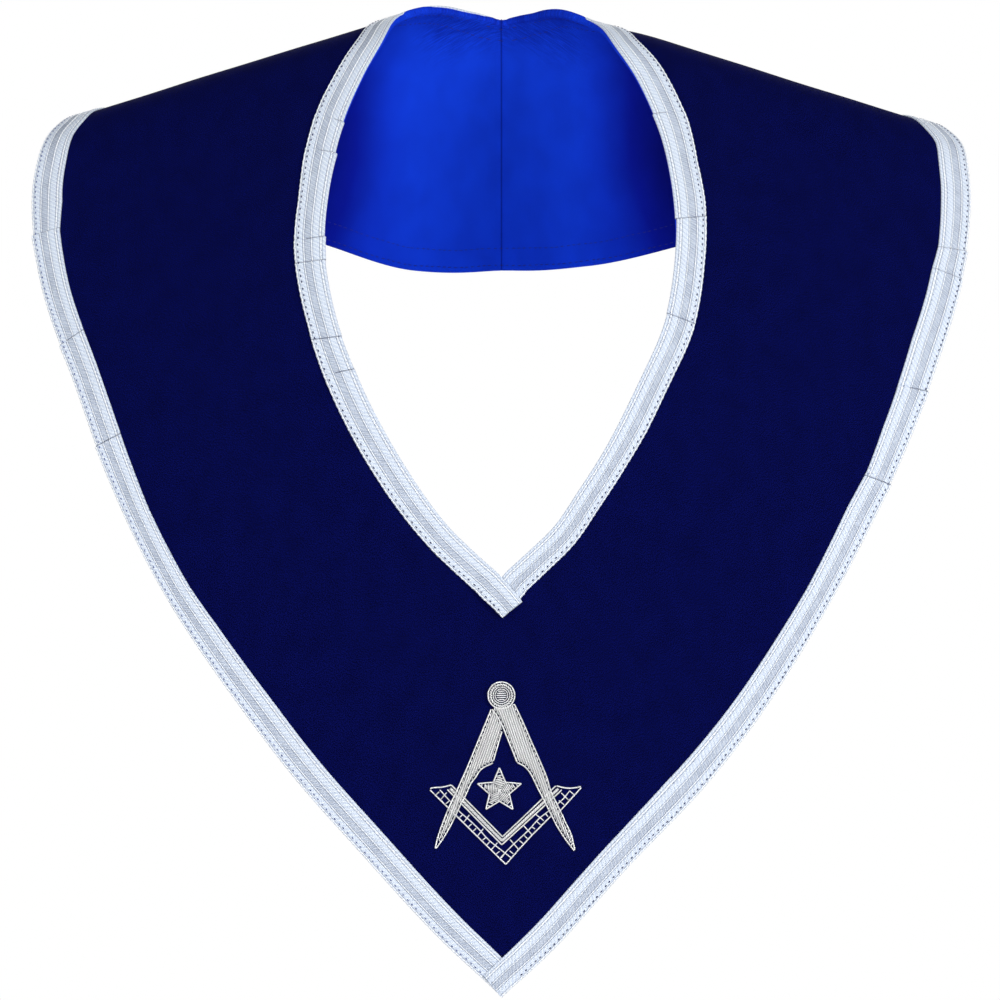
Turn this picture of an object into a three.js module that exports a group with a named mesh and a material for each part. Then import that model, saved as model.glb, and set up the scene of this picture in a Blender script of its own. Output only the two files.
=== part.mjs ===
import * as THREE from 'three';

// Driving sizes in millimetres. X is to the right, the front faces -Y, and Z is up from the shoulder line.
const SIZE = {
  shoulderReach: 221,
  frontLength: 504,
  shoulderRadius: 45,
  chestRadius: 450,
  backRadius: 350,
  neckBraidWidth: 13.2,
  rimBraidWidth: 13.6,
  faceThickness: 1.6,
  liningThickness: 1.0,
  braidEdge: 0.8,
  braidCrown: 1.3,
  gap: 0.3,
  emblemWidth: 68,
  emblemHeight: 83,
  emblemCentre: -358,
  emblemThickness: 1.5,
};

// The shoulder line: it falls to both sides, is rounded at the neck, and sits a little lower on the right.
// Near the neck the cloth lies a little lower, with a low hump on each side that is higher on the left.
const CREST = { slope: 0.316, rounding: 12, reach: 39.6, lean: 1.5, leanWidth: 50 };
const NECK_RISES = [
  { height: 2.1, at: -34, width: 14 },
  { height: 1.2, at: 27, width: 15 },
  { height: -2.2, at: 46, width: 15 },
  { height: -1.4, at: 0, width: 45 },
  { height: -1.9, at: 12, width: 20 },
];
const RISE_LENGTH = 40;

// Arcs that the cloth follows from the shoulder line down to the front and to the back
const FRONT_ARCS = [
  { radius: SIZE.shoulderRadius, turnedTo: 58 },
  { radius: SIZE.chestRadius, turnedTo: 88 },
];
const BACK_ARCS = [
  { radius: SIZE.shoulderRadius, turnedTo: 60 },
  { radius: SIZE.backRadius, turnedTo: 82 },
];

// Sections from the front centre line to the centre back. Across is a share of shoulderReach.
// Along is the length of cloth from the shoulder line as a share of frontLength, minus for the front.
// The shift columns move an edge to the right, in millimetres, on both sides of the collar.
// The tilt column moves the rim towards the back on the right and towards the front on the left.
const SECTIONS = [
  { neckAcross: 0.000, neckAlong: -0.6255, rimAcross: 0.000, rimAlong: -1.003, neckShift: 0.0, rimShift: 0.0, rimTilt: 0.0 },
  { neckAcross: 0.011, neckAlong: -0.620, rimAcross: 0.060, rimAlong: -0.975, neckShift: -0.2, rimShift: -0.2, rimTilt: 0.0 },
  { neckAcross: 0.026, neckAlong: -0.615, rimAcross: 0.124, rimAlong: -0.941, neckShift: -0.3, rimShift: -0.5, rimTilt: 0.0 },
  { neckAcross: 0.060, neckAlong: -0.597, rimAcross: 0.272, rimAlong: -0.850, neckShift: -0.4, rimShift: -1.2, rimTilt: 0.0 },
  { neckAcross: 0.109, neckAlong: -0.570, rimAcross: 0.424, rimAlong: -0.757, neckShift: -0.5, rimShift: -0.2, rimTilt: 0.0 },
  { neckAcross: 0.161, neckAlong: -0.532, rimAcross: 0.578, rimAlong: -0.647, neckShift: -1.2, rimShift: -0.5, rimTilt: 0.0 },
  { neckAcross: 0.226, neckAlong: -0.478, rimAcross: 0.706, rimAlong: -0.539, neckShift: -1.2, rimShift: -1.6, rimTilt: 0.0 },
  { neckAcross: 0.290, neckAlong: -0.413, rimAcross: 0.810, rimAlong: -0.432, neckShift: -1.3, rimShift: -0.9, rimTilt: 0.0 },
  { neckAcross: 0.340, neckAlong: -0.349, rimAcross: 0.895, rimAlong: -0.326, neckShift: -0.7, rimShift: 0.0, rimTilt: 0.0 },
  { neckAcross: 0.364, neckAlong: -0.283, rimAcross: 0.966, rimAlong: -0.224, neckShift: -0.7, rimShift: -0.6, rimTilt: 0.0 },
  { neckAcross: 0.362, neckAlong: -0.227, rimAcross: 0.997, rimAlong: -0.131, neckShift: -0.4, rimShift: 0.0, rimTilt: 0.0 },
  { neckAcross: 0.336, neckAlong: -0.157, rimAcross: 0.994, rimAlong: -0.086, neckShift: -0.2, rimShift: 0.6, rimTilt: 0.0 },
  { neckAcross: 0.294, neckAlong: -0.108, rimAcross: 0.981, rimAlong: -0.052, neckShift: -0.4, rimShift: 1.5, rimTilt: 0.0 },
  { neckAcross: 0.249, neckAlong: -0.070, rimAcross: 0.956, rimAlong: -0.027, neckShift: -1.4, rimShift: 1.5, rimTilt: 0.0 },
  { neckAcross: 0.218, neckAlong: -0.030, rimAcross: 0.941, rimAlong: -0.008, neckShift: -2.2, rimShift: 1.2, rimTilt: 0.0 },
  { neckAcross: 0.192, neckAlong: -0.010, rimAcross: 0.913, rimAlong: 0.022, neckShift: -3.0, rimShift: 1.0, rimTilt: 0.0 },
  { neckAcross: 0.146, neckAlong: 0.007, rimAcross: 0.845, rimAlong: 0.077, neckShift: -3.7, rimShift: 0.5, rimTilt: 0.0 },
  { neckAcross: 0.101, neckAlong: 0.023, rimAcross: 0.684, rimAlong: 0.155, neckShift: -2.2, rimShift: 0.0, rimTilt: 0.0 },
  { neckAcross: 0.072, neckAlong: 0.035, rimAcross: 0.534, rimAlong: 0.203, neckShift: -1.2, rimShift: 0.0, rimTilt: 0.0 },
  { neckAcross: 0.044, neckAlong: 0.044, rimAcross: 0.385, rimAlong: 0.248, neckShift: -0.8, rimShift: 0.0, rimTilt: -1.0 },
  { neckAcross: 0.022, neckAlong: 0.051, rimAcross: 0.195, rimAlong: 0.296, neckShift: -0.3, rimShift: 0.0, rimTilt: -2.2 },
  { neckAcross: 0.000, neckAlong: 0.054, rimAcross: 0.000, rimAlong: 0.319, neckShift: 0.0, rimShift: 0.0, rimTilt: 0.0 },
];
const STEPS_PER_SECTION = 2;
const MITRE_LENGTH = 60;

// Points of one compass leg, from the head down to the tip, as shares of half the emblem's width
// for across and of its height for down. The outer edge is the one away from the other leg.
const LEFT_LEG = [
  { outerAcross: -0.145, outerDown: 0.157, innerAcross: -0.008, innerDown: 0.293 },
  { outerAcross: -0.245, outerDown: 0.262, innerAcross: -0.030, innerDown: 0.355 },
  { outerAcross: -0.345, outerDown: 0.360, innerAcross: -0.105, innerDown: 0.440 },
  { outerAcross: -0.425, outerDown: 0.440, innerAcross: -0.230, innerDown: 0.492 },
  { outerAcross: -0.480, outerDown: 0.495, innerAcross: -0.350, innerDown: 0.535 },
  { outerAcross: -0.545, outerDown: 0.560, innerAcross: -0.425, innerDown: 0.590 },
  { outerAcross: -0.610, outerDown: 0.622, innerAcross: -0.505, innerDown: 0.650 },
  { outerAcross: -0.675, outerDown: 0.690, innerAcross: -0.590, innerDown: 0.712 },
  { outerAcross: -0.755, outerDown: 0.765, innerAcross: -0.690, innerDown: 0.785 },
  { outerAcross: -0.830, outerDown: 0.842, innerAcross: -0.785, innerDown: 0.858 },
  { outerAcross: -0.895, outerDown: 0.908, innerAcross: -0.872, innerDown: 0.918 },
];
const RIGHT_LEG = [
  { outerAcross: 0.160, outerDown: 0.150, innerAcross: -0.090, innerDown: 0.178 },
  { outerAcross: 0.245, outerDown: 0.240, innerAcross: 0.010, innerDown: 0.275 },
  { outerAcross: 0.345, outerDown: 0.345, innerAcross: 0.105, innerDown: 0.370 },
  { outerAcross: 0.435, outerDown: 0.438, innerAcross: 0.210, innerDown: 0.455 },
  { outerAcross: 0.490, outerDown: 0.495, innerAcross: 0.355, innerDown: 0.512 },
  { outerAcross: 0.555, outerDown: 0.560, innerAcross: 0.425, innerDown: 0.590 },
  { outerAcross: 0.620, outerDown: 0.625, innerAcross: 0.510, innerDown: 0.655 },
  { outerAcross: 0.690, outerDown: 0.695, innerAcross: 0.600, innerDown: 0.722 },
  { outerAcross: 0.770, outerDown: 0.775, innerAcross: 0.700, innerDown: 0.798 },
  { outerAcross: 0.850, outerDown: 0.855, innerAcross: 0.800, innerDown: 0.872 },
  { outerAcross: 0.925, outerDown: 0.925, innerAcross: 0.900, innerDown: 0.934 },
];

// The square opens upwards: arms of one width, with ends cut slightly hollow. It sits a little to the right.
const SQUARE = { across: 0.052, armWidth: 0.258, cornerDown: 1.0, endDown: 0.595 };
const HEAD = { down: 0.077, radius: 0.185 };
const STAR = { across: -0.03, down: 0.600, outer: 0.315, inner: 0.140, points: 5 };

function along(arcs, length) {
  let out = 0;
  let drop = 0;
  let turned = 0;
  let left = length;
  for (const arc of arcs) {
    const end = THREE.MathUtils.degToRad(arc.turnedTo);
    const arcLength = arc.radius * (end - turned);
    const angle = left < arcLength ? turned + left / arc.radius : end;
    out += arc.radius * (Math.sin(angle) - Math.sin(turned));
    drop += arc.radius * (Math.cos(turned) - Math.cos(angle));
    if (left < arcLength) {
      return { out, drop };
    }
    left -= arcLength;
    turned = end;
  }
  return { out: out + left * Math.cos(turned), drop: drop + left * Math.sin(turned) };
}

function crestHeight(x) {
  const level = CREST.slope * (CREST.reach - Math.hypot(x, CREST.rounding));
  return level - CREST.lean * x / Math.hypot(x, CREST.leanWidth);
}

function neckRise(x, v) {
  let rise = 0;
  for (const part of NECK_RISES) {
    rise += part.height * Math.exp(-(((x - part.at) / part.width) ** 2));
  }
  return rise * Math.exp(-((v / RISE_LENGTH) ** 2));
}

// A place on the outer side of the cloth: x across, v the length of cloth from the shoulder line
function clothPoint(x, v) {
  const fall = along(v > 0 ? BACK_ARCS : FRONT_ARCS, Math.abs(v));
  const wrap = 1 - 0.16 * (Math.max(0, Math.abs(x) - 40) / SIZE.shoulderReach) ** 2;
  const y = (v > 0 ? fall.out : -fall.out) * wrap;
  return new THREE.Vector3(x, y, crestHeight(x) + neckRise(x, v) - fall.drop);
}

function clothAxes(x, v) {
  const step = 0.2;
  const acrossAxis = clothPoint(x + step, v).sub(clothPoint(x - step, v)).divideScalar(2 * step);
  const alongAxis = clothPoint(x, v + step).sub(clothPoint(x, v - step)).divideScalar(2 * step);
  return { acrossAxis, alongAxis };
}

function raised(place, height) {
  const { acrossAxis, alongAxis } = clothAxes(place.x, place.v);
  const normal = acrossAxis.cross(alongAxis).normalize();
  return clothPoint(place.x, place.v).addScaledVector(normal, height);
}

// The two edge curves run from the front centre, round the back, to the front centre again
function edgePlace(row, side, keys) {
  const x = side * row[keys.across] * SIZE.shoulderReach + row[keys.shift];
  const tilt = keys.tilt ? side * row[keys.tilt] : 0;
  return new THREE.Vector3(x, row[keys.along] * SIZE.frontLength + tilt, 0);
}

function edgeCurve(keys) {
  const left = SECTIONS.map((row) => edgePlace(row, -1, keys));
  const right = SECTIONS.slice(0, -1).reverse().map((row) => edgePlace(row, 1, keys));
  return new THREE.CatmullRomCurve3([...left, ...right], false, 'centripetal');
}

// Steps of one millimetre on the cloth at a place on an edge: one follows the edge, and one goes in from it
// at right angles. The lean says how far the inward step turns along the edge to stay on the centre line.
function edgeSteps(curve, t, towards) {
  const place = curve.getPoint(t);
  const { acrossAxis, alongAxis } = clothAxes(place.x, place.y);
  const e = acrossAxis.dot(acrossAxis);
  const f = acrossAxis.dot(alongAxis);
  const g = alongAxis.dot(alongAxis);
  const cover = (a, b) => e * a.dx * b.dx + f * (a.dx * b.dv + a.dv * b.dx) + g * a.dv * b.dv;
  const scaled = (step, by) => ({ dx: step.dx * by, dv: step.dv * by });
  const tangent = curve.getTangent(t);
  let follow = { dx: tangent.x, dv: tangent.y };
  follow = scaled(follow, 1 / Math.sqrt(cover(follow, follow)));
  let inward = { dx: -(f * follow.dx + g * follow.dv), dv: e * follow.dx + f * follow.dv };
  const inwards = cover(inward, { dx: towards.x - place.x, dv: towards.y - place.y }) < 0 ? -1 : 1;
  inward = scaled(inward, inwards / Math.sqrt(cover(inward, inward)));
  const centreLine = { dx: 0, dv: 1 };
  const lean = cover(centreLine, follow) / cover(centreLine, inward);
  return { place, follow, inward, lean };
}

// Near the front corner the inward step leans, so that it meets the centre line in a mitre
function inwardStep(curve, t, towards) {
  const here = edgeSteps(curve, t, towards);
  const end = edgeSteps(curve, t < 0.5 ? 0 : 1, towards);
  const distance = here.place.distanceTo(end.place);
  const lean = end.lean * Math.max(0, 1 - distance / MITRE_LENGTH);
  return { dx: here.inward.dx + lean * here.follow.dx, dv: here.inward.dv + lean * here.follow.dv };
}

const NECK = edgeCurve({ across: 'neckAcross', along: 'neckAlong', shift: 'neckShift' });
const RIM = edgeCurve({ across: 'rimAcross', along: 'rimAlong', shift: 'rimShift', tilt: 'rimTilt' });
const STATIONS = (SECTIONS.length - 1) * 2 * STEPS_PER_SECTION;

const stationFrames = [];
for (let i = 0; i <= STATIONS; i += 1) {
  const t = i / STATIONS;
  const neck = NECK.getPoint(t);
  const rim = RIM.getPoint(t);
  stationFrames.push({
    neck,
    rim,
    neckStep: inwardStep(NECK, t, rim),
    rimStep: inwardStep(RIM, t, neck),
  });
}

// A place across the collar: millimetres in from the neck edge, or from the rim, or a share between the braids
function placeAcross(frame, spot) {
  const fromNeck = (mm) => ({ x: frame.neck.x + frame.neckStep.dx * mm, v: frame.neck.y + frame.neckStep.dv * mm });
  const fromRim = (mm) => ({ x: frame.rim.x + frame.rimStep.dx * mm, v: frame.rim.y + frame.rimStep.dv * mm });
  if (spot.neck !== undefined) {
    return fromNeck(spot.neck);
  }
  if (spot.rim !== undefined) {
    return fromRim(spot.rim);
  }
  const a = fromNeck(SIZE.neckBraidWidth);
  const b = fromRim(SIZE.rimBraidWidth);
  return { x: a.x + (b.x - a.x) * spot.share, v: a.v + (b.v - a.v) * spot.share };
}

// A closed solid between two heights over a net of places on the cloth
function solidOver(net, lowAt, highAt, ring) {
  const rows = net.length;
  const columns = net[0].length;
  const corners = [];
  for (let i = 0; i < rows; i += 1) {
    for (let j = 0; j < columns; j += 1) {
      corners.push(raised(net[i][j], lowAt(i, j)), raised(net[i][j], highAt(i, j)));
    }
  }
  const low = (i, j) => 2 * ((i % rows) * columns + j);
  const high = (i, j) => low(i, j) + 1;
  const faces = [];
  const last = ring ? rows : rows - 1;
  let mirrored = false;
  const quad = (a, b, c, d) => {
    if (mirrored) {
      faces.push(a, b, d, b, c, d);
    } else {
      faces.push(a, b, c, a, c, d);
    }
  };
  for (let i = 0; i < last; i += 1) {
    mirrored = 2 * i >= last;
    for (let j = 0; j + 1 < columns; j += 1) {
      quad(high(i, j), high(i + 1, j), high(i + 1, j + 1), high(i, j + 1));
      quad(low(i, j), low(i, j + 1), low(i + 1, j + 1), low(i + 1, j));
    }
    quad(high(i, 0), low(i, 0), low(i + 1, 0), high(i + 1, 0));
    const j = columns - 1;
    quad(high(i, j), high(i + 1, j), low(i + 1, j), low(i, j));
  }
  if (!ring) {
    for (let j = 0; j + 1 < columns; j += 1) {
      quad(high(0, j), high(0, j + 1), low(0, j + 1), low(0, j));
      quad(high(last, j), low(last, j), low(last, j + 1), high(last, j + 1));
    }
  }
  const geometry = new THREE.BufferGeometry();
  geometry.setAttribute('position', new THREE.Float32BufferAttribute(corners.flatMap((p) => [p.x, p.y, p.z]), 3));
  geometry.setIndex(faces);
  return facingOut(geometry);
}

function signedVolume(geometry) {
  const position = geometry.getAttribute('position');
  const index = geometry.getIndex();
  const corner = (k) => new THREE.Vector3().fromBufferAttribute(position, index.getX(k));
  let volume = 0;
  for (let k = 0; k < index.count; k += 3) {
    volume += corner(k).dot(corner(k + 1).cross(corner(k + 2))) / 6;
  }
  return volume;
}

function facingOut(geometry) {
  if (signedVolume(geometry) < 0) {
    const index = geometry.getIndex();
    for (let k = 0; k < index.count; k += 3) {
      const second = index.getX(k + 1);
      index.setX(k + 1, index.getX(k + 2));
      index.setX(k + 2, second);
    }
  }
  geometry.computeVertexNormals();
  return geometry;
}

function netOver(spots, frames) {
  return frames.map((frame) => spots.map((spot) => placeAcross(frame, spot)));
}

function clothSpots(inset) {
  const between = [0, 0.25, 0.5, 0.75, 1].map((share) => ({ share }));
  const underNeck = { neck: SIZE.neckBraidWidth / 2 };
  const underRim = { rim: SIZE.rimBraidWidth / 2 };
  return [{ neck: inset }, underNeck, ...between, underRim, { rim: inset }];
}

const ringFrames = stationFrames.slice(0, STATIONS);

function faceCloth() {
  const net = netOver(clothSpots(0.5), ringFrames);
  return solidOver(net, () => -SIZE.faceThickness, () => 0, true);
}

function lining() {
  const net = netOver(clothSpots(1.2), ringFrames);
  const top = -SIZE.faceThickness - SIZE.gap;
  return solidOver(net, () => top - SIZE.liningThickness, () => top, true);
}

// One strip of braid with a crown between its two flat edges. Its ends meet at the front centre line.
function braid(side) {
  const width = side === 'neck' ? SIZE.neckBraidWidth : SIZE.rimBraidWidth;
  const steps = [0, 1.6, width / 2, width - 1.6, width];
  const heights = [SIZE.braidEdge, SIZE.braidCrown, SIZE.braidCrown, SIZE.braidCrown, SIZE.braidEdge];
  const spots = steps.map((mm) => ({ [side]: mm }));
  const net = netOver(spots, stationFrames);
  const ends = [[0, 1], [net.length - 1, -1]];
  for (const [row, sign] of ends) {
    for (const place of net[row]) {
      place.x -= sign * SIZE.gap / 2;
    }
  }
  const bottom = SIZE.gap;
  return solidOver(net, () => bottom, (i, j) => bottom + heights[j], false);
}

// A place on the front for a height z, found by halving the length of cloth
function frontPlace(x, z) {
  let near = 0;
  let far = SIZE.frontLength;
  for (let k = 0; k < 40; k += 1) {
    const middle = (near + far) / 2;
    if (crestHeight(x) - along(FRONT_ARCS, middle).drop > z) {
      near = middle;
    } else {
      far = middle;
    }
  }
  return { x, v: -(near + far) / 2 };
}

function emblemX(across) {
  return across * SIZE.emblemWidth / 2;
}

function emblemZ(down) {
  return SIZE.emblemCentre + (0.5 - down) * SIZE.emblemHeight;
}

const emblemBottom = 0.4;

// How far a place lies inside the band of the square, in millimetres, minus when outside
function insideSquare(x, z) {
  const cornerZ = emblemZ(SQUARE.cornerDown);
  const endZ = emblemZ(SQUARE.endDown);
  const half = SIZE.emblemWidth / 2;
  const rise = endZ - cornerZ;
  const size = Math.hypot(half, rise);
  const distance = ((z - cornerZ) * half - Math.abs(x - emblemX(SQUARE.across)) * rise) / size;
  const width = SQUARE.armWidth * half;
  return Math.min(distance, width - distance);
}

function legLift(x, z) {
  const fade = 2.4;
  const share = THREE.MathUtils.clamp((insideSquare(x, z) + 1.2 + fade) / fade, 0, 1);
  return share * share * (3 - 2 * share) * (SIZE.emblemThickness + SIZE.gap);
}

function compassLeg(table) {
  const columns = 4;
  const net = [];
  const points = [];
  for (let i = 0; i + 1 < table.length; i += 1) {
    const steps = i + 2 === table.length ? [0, 0.5, 1] : [0, 0.5];
    for (const step of steps) {
      const row = [];
      const pointRow = [];
      for (let j = 0; j <= columns; j += 1) {
        const mix = (key) => THREE.MathUtils.lerp(table[i][key], table[i + 1][key], step);
        const across = THREE.MathUtils.lerp(mix('outerAcross'), mix('innerAcross'), j / columns);
        const down = THREE.MathUtils.lerp(mix('outerDown'), mix('innerDown'), j / columns);
        const x = emblemX(across);
        const z = emblemZ(down);
        row.push(frontPlace(x, z));
        pointRow.push({ x, z });
      }
      net.push(row);
      points.push(pointRow);
    }
  }
  const crown = [0.55, 0.9, 1, 0.9, 0.55];
  const low = (i, j) => emblemBottom + legLift(points[i][j].x, points[i][j].z);
  const high = (i, j) => low(i, j) + SIZE.emblemThickness * crown[j];
  return solidOver(net, low, high, false);
}

// A flat shape with bevelled upper edges, laid on the front of the cloth
function paddedShape(outline, thickness) {
  const shape = new THREE.Shape(outline.map(([across, down]) => new THREE.Vector2(emblemX(across), emblemZ(down))));
  const bevel = 0.45;
  const solid = new THREE.ExtrudeGeometry(shape, {
    depth: thickness - bevel,
    bevelEnabled: true,
    bevelThickness: bevel,
    bevelSize: bevel,
    bevelOffset: -bevel,
    bevelSegments: 1,
    curveSegments: 4,
  });
  const position = solid.getAttribute('position');
  const corners = [];
  for (let k = 0; k < position.count; k += 1) {
    const height = Math.max(0, position.getZ(k));
    const place = frontPlace(position.getX(k), position.getY(k));
    const corner = raised(place, emblemBottom + height);
    corners.push(corner.x, corner.y, corner.z);
  }
  const geometry = new THREE.BufferGeometry();
  geometry.setAttribute('position', new THREE.Float32BufferAttribute(corners, 3));
  geometry.setIndex([...Array(position.count).keys()]);
  return facingOut(geometry);
}

function squareOutline() {
  const half = SIZE.emblemWidth / 2;
  const rise = (SQUARE.cornerDown - SQUARE.endDown) * SIZE.emblemHeight;
  const armLength = Math.hypot(half, rise);
  const inset = SQUARE.armWidth * half;
  const innerCornerDown = SQUARE.cornerDown - inset * armLength / half / SIZE.emblemHeight;
  const alongX = half / armLength;
  const alongZ = rise / armLength;
  const right = [];
  const steps = [0, 0.25, 0.5, 0.75, 1];
  for (const step of steps) {
    const hollow = 1.1 * (1 - (2 * step - 1) ** 2);
    const x = half - alongZ * inset * step - alongX * hollow;
    const down = SQUARE.endDown - (alongX * inset * step - alongZ * hollow) / SIZE.emblemHeight;
    right.push([x / half, down]);
  }
  const middles = [0.33, 0.66].map((t) => {
    const [x, down] = right[4];
    return [x * (1 - t), down + (innerCornerDown - down) * t];
  });
  const lower = [0.66, 0.33].map((t) => [1 - t, SQUARE.endDown + (SQUARE.cornerDown - SQUARE.endDown) * t]);
  const rightSide = [...lower.map((p) => [p[0], p[1]]), ...right, ...middles];
  const leftSide = rightSide.map(([x, down]) => [-x, down]).reverse();
  const outline = [[0, SQUARE.cornerDown], ...rightSide, [0, innerCornerDown], ...leftSide];
  return outline.map(([x, down]) => [x + SQUARE.across, down]);
}

function ringOutline(centre, radius, count) {
  const outline = [];
  for (let k = 0; k < count; k += 1) {
    const angle = 2 * Math.PI * k / count;
    const across = centre.across + radius * Math.cos(angle);
    const down = centre.down + radius * Math.sin(angle) * (SIZE.emblemWidth / 2) / SIZE.emblemHeight;
    outline.push([across, down]);
  }
  return outline;
}

function starOutline() {
  const outline = [];
  const squash = (SIZE.emblemWidth / 2) / SIZE.emblemHeight;
  for (let k = 0; k < 2 * STAR.points; k += 1) {
    const angle = Math.PI * k / STAR.points;
    const radius = k % 2 === 0 ? STAR.outer : STAR.inner;
    outline.push([STAR.across + radius * Math.sin(angle), STAR.down - radius * Math.cos(angle) * squash]);
  }
  return outline;
}

const MATERIALS = {
  navy_cloth: { color: 0x070c43, roughness: 0.95, metalness: 0 },
  blue_lining: { color: 0x1133c2, roughness: 0.8, metalness: 0 },
  white_braid: { color: 0xcdd9e3, roughness: 0.7, metalness: 0 },
  silver_thread: { color: 0xc4c6cc, roughness: 0.45, metalness: 0.6 },
};

function mesh(name, slot, geometry) {
  const material = new THREE.MeshStandardMaterial({ ...MATERIALS[slot], name: slot });
  const made = new THREE.Mesh(geometry, material);
  made.name = name;
  return made;
}

const collar = new THREE.Group();
collar.name = 'collar';
collar.add(mesh('face_cloth', 'navy_cloth', faceCloth()));
collar.add(mesh('lining', 'blue_lining', lining()));
collar.add(mesh('braid_neck', 'white_braid', braid('neck')));
collar.add(mesh('braid_rim', 'white_braid', braid('rim')));
collar.add(mesh('square', 'silver_thread', paddedShape(squareOutline(), SIZE.emblemThickness)));
collar.add(mesh('compass_leg_left', 'silver_thread', compassLeg(LEFT_LEG)));
collar.add(mesh('compass_leg_right', 'silver_thread', compassLeg(RIGHT_LEG)));
collar.add(mesh('compass_head', 'silver_thread', paddedShape(ringOutline({ across: 0, down: HEAD.down }, HEAD.radius, 24), 2.2)));
collar.add(mesh('star', 'silver_thread', paddedShape(starOutline(), 1.8)));

export default collar;
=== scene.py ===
# A collar of navy cloth with a blue lining, two strips of white braid and an emblem of silver wire.
# It is shown as worn: rounded over the shoulders, hanging down in front and a little way down the back.
import math

import bpy
import numpy as np
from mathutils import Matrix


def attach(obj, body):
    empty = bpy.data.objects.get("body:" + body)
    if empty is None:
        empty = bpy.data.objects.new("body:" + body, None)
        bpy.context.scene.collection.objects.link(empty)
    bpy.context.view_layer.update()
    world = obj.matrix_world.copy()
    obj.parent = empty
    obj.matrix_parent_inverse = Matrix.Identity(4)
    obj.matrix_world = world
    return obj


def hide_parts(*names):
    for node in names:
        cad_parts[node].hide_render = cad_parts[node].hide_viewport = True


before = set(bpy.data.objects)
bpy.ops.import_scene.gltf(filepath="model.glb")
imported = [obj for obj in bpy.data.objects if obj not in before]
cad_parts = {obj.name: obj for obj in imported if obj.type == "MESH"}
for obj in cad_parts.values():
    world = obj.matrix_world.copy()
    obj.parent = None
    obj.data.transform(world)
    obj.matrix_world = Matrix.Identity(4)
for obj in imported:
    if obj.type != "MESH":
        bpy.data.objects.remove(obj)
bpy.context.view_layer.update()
scene = bpy.context.scene

# The form of the cloth, in millimetres: x to the right, v the length of cloth from the shoulder line,
# below 0 in front
MM = 0.001
SHOULDER_REACH = 221.0
FRONT_LENGTH = 504.0
NECK_BRAID = 13.2
RIM_BRAID = 13.6
FACE_LOW = -1.55
LINING_TOP = -1.6
LINING_LOW = -2.9
MITRE_LENGTH = 60.0
CREST_SLOPE = 0.316
CREST_ROUNDING = 12.0
CREST_REACH = 39.6
CREST_LEAN = 1.5
CREST_LEAN_WIDTH = 50.0
NECK_RISES = [
    (2.1, -34.0, 14.0), (1.2, 27.0, 15.0), (-2.2, 46.0, 15.0), (-1.4, 0.0, 45.0), (-1.9, 12.0, 20.0),
]
RISE_LENGTH = 40.0
SHOULDER_WRAP = 0.16
WRAP_FROM = 40
FRONT_ARCS = [(45.0, 58.0), (450.0, 88.0)]
BACK_ARCS = [(45.0, 60.0), (350.0, 82.0)]

# Shares of the shoulder reach and the front length: neck across and along, rim across and along.
# Then in millimetres: neck shift, rim shift, rim tilt.
SECTIONS = np.array([
    (0.000, -0.6255, 0.000, -1.003, 0.0, 0.0, 0.0),
    (0.011, -0.620, 0.060, -0.975, -0.2, -0.2, 0.0),
    (0.026, -0.6135, 0.124, -0.941, -0.3, -0.5, 0.0),
    (0.060, -0.597, 0.272, -0.850, -0.4, -1.2, 0.0),
    (0.109, -0.570, 0.424, -0.757, -0.5, -0.2, 0.0),
    (0.161, -0.532, 0.578, -0.647, -1.2, -0.5, 0.0),
    (0.226, -0.478, 0.706, -0.539, -1.2, -1.6, 0.0),
    (0.290, -0.413, 0.810, -0.432, -1.3, -0.9, 0.0),
    (0.340, -0.349, 0.895, -0.326, -0.7, 0.0, 0.0),
    (0.364, -0.283, 0.966, -0.224, -0.7, -0.6, 0.0),
    (0.362, -0.227, 0.997, -0.131, -0.4, 0.0, 0.0),
    (0.336, -0.157, 0.994, -0.086, -0.2, 0.6, 0.0),
    (0.294, -0.108, 0.981, -0.052, -0.4, 1.5, 0.0),
    (0.249, -0.070, 0.956, -0.027, -1.4, 1.5, 0.0),
    (0.218, -0.030, 0.941, -0.008, -2.2, 1.2, 0.0),
    (0.192, -0.010, 0.913, 0.022, -3.0, 1.0, 0.0),
    (0.146, 0.007, 0.845, 0.077, -3.7, 0.5, 0.0),
    (0.101, 0.023, 0.684, 0.155, -2.2, 0.0, 0.0),
    (0.072, 0.035, 0.534, 0.203, -1.2, 0.0, 0.0),
    (0.044, 0.044, 0.385, 0.248, -0.8, 0.0, -1.0),
    (0.022, 0.051, 0.195, 0.296, -0.3, 0.0, -2.2),
    (0.000, 0.054, 0.000, 0.319, 0.0, 0.0, 0.0),
])


def along(arcs, length):
    out = np.zeros_like(length)
    drop = np.zeros_like(length)
    turned = 0.0
    left = length
    for radius, turned_to in arcs:
        end = math.radians(turned_to)
        part = np.minimum(left, radius * (end - turned))
        angle = turned + part / radius
        out = out + radius * (np.sin(angle) - math.sin(turned))
        drop = drop + radius * (math.cos(turned) - np.cos(angle))
        left = left - part
        turned = end
    return out + left * math.cos(turned), drop + left * math.sin(turned)


def crest_height(x):
    level = CREST_SLOPE * (CREST_REACH - np.hypot(x, CREST_ROUNDING))
    return level - CREST_LEAN * x / np.hypot(x, CREST_LEAN_WIDTH)


def neck_rise(x, v):
    rise = sum(height * np.exp(-((x - at) / width) ** 2) for height, at, width in NECK_RISES)
    return rise * np.exp(-(v / RISE_LENGTH) ** 2)


def cloth_point(x, v):
    front_out, front_drop = along(FRONT_ARCS, np.maximum(-v, 0))
    back_out, back_drop = along(BACK_ARCS, np.maximum(v, 0))
    wrap = 1 - SHOULDER_WRAP * (np.maximum(0, np.abs(x) - WRAP_FROM) / SHOULDER_REACH) ** 2
    z = crest_height(x) + neck_rise(x, v) - front_drop - back_drop
    return np.stack([x, (back_out - front_out) * wrap, z], axis=-1)


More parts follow.
